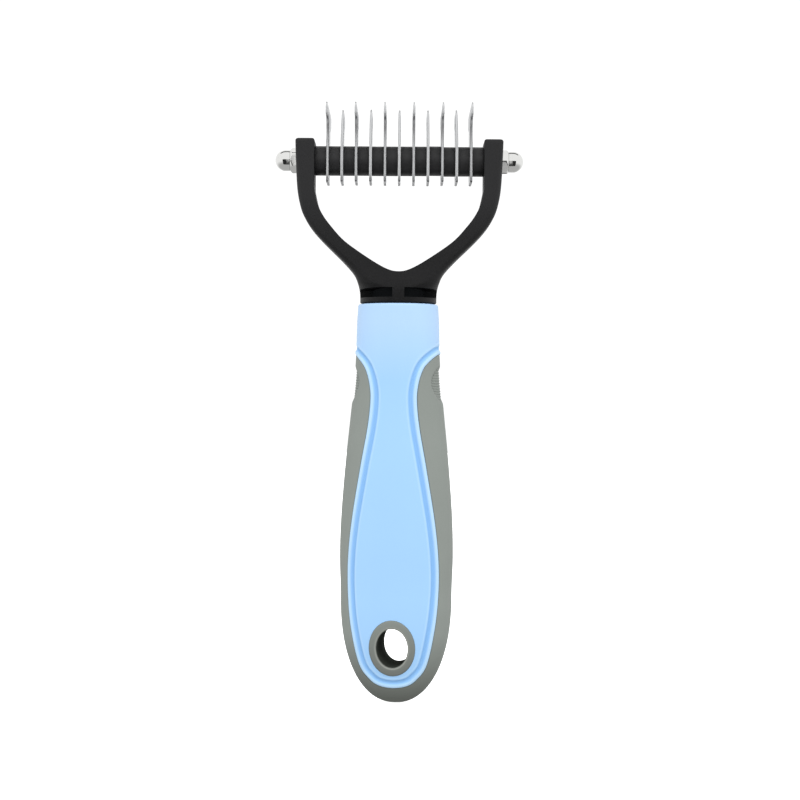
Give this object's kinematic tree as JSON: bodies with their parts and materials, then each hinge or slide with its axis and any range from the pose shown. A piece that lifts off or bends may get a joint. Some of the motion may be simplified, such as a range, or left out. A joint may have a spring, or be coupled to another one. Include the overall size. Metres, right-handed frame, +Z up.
{
  "type": "undercoat rake",
  "caption": "Two-sided grooming rake: hooked steel blades clamped on a rod across a black fork, on a blue and grey contoured handle with an oval hanging hole.",
  "frame": {"origin": "the lowest point of the handle's butt, under the middle of the tool", "axes": "+Z up the tool from the butt to the blades, +X along the cross rod, -Y out of the coarse (front) side"},
  "size_m": [0.0776, 0.032, 0.1857],
  "materials": {
    "blade_steel": "ground and tumbled stainless steel",
    "rod_steel": "zinc plated steel",
    "nut_chrome": "bright chrome plate",
    "fork_nylon": "fine spark-eroded mould texture",
    "spacer_plastic": "satin moulded",
    "handle_plastic": "satin moulded",
    "grip_rubber": "matt moulded"
  },
  "bodies": {
    "root": {"blade_01": "blade_steel", "blade_02": "blade_steel", "blade_03": "blade_steel", "blade_04": "blade_steel", "blade_05": "blade_steel", "blade_06": "blade_steel", "blade_07": "blade_steel", "blade_08": "blade_steel", "blade_09": "blade_steel", "blade_10": "blade_steel", "blade_11": "blade_steel", "spacer_01": "spacer_plastic", "spacer_02": "spacer_plastic", "spacer_03": "spacer_plastic", "spacer_04": "spacer_plastic", "spacer_05": "spacer_plastic", "spacer_06": "spacer_plastic", "spacer_07": "spacer_plastic", "spacer_08": "spacer_plastic", "spacer_09": "spacer_plastic", "spacer_10": "spacer_plastic", "spacer_11": "spacer_plastic", "spacer_12": "spacer_plastic", "cross_rod": "rod_steel", "cap_nut_left": "nut_chrome", "cap_nut_right": "nut_chrome", "fork_head": "fork_nylon", "handle_core": "handle_plastic", "grip_overmould": "grip_rubber", "hang_hole_grommet": "grip_rubber"}
  },
  "joints": []
}
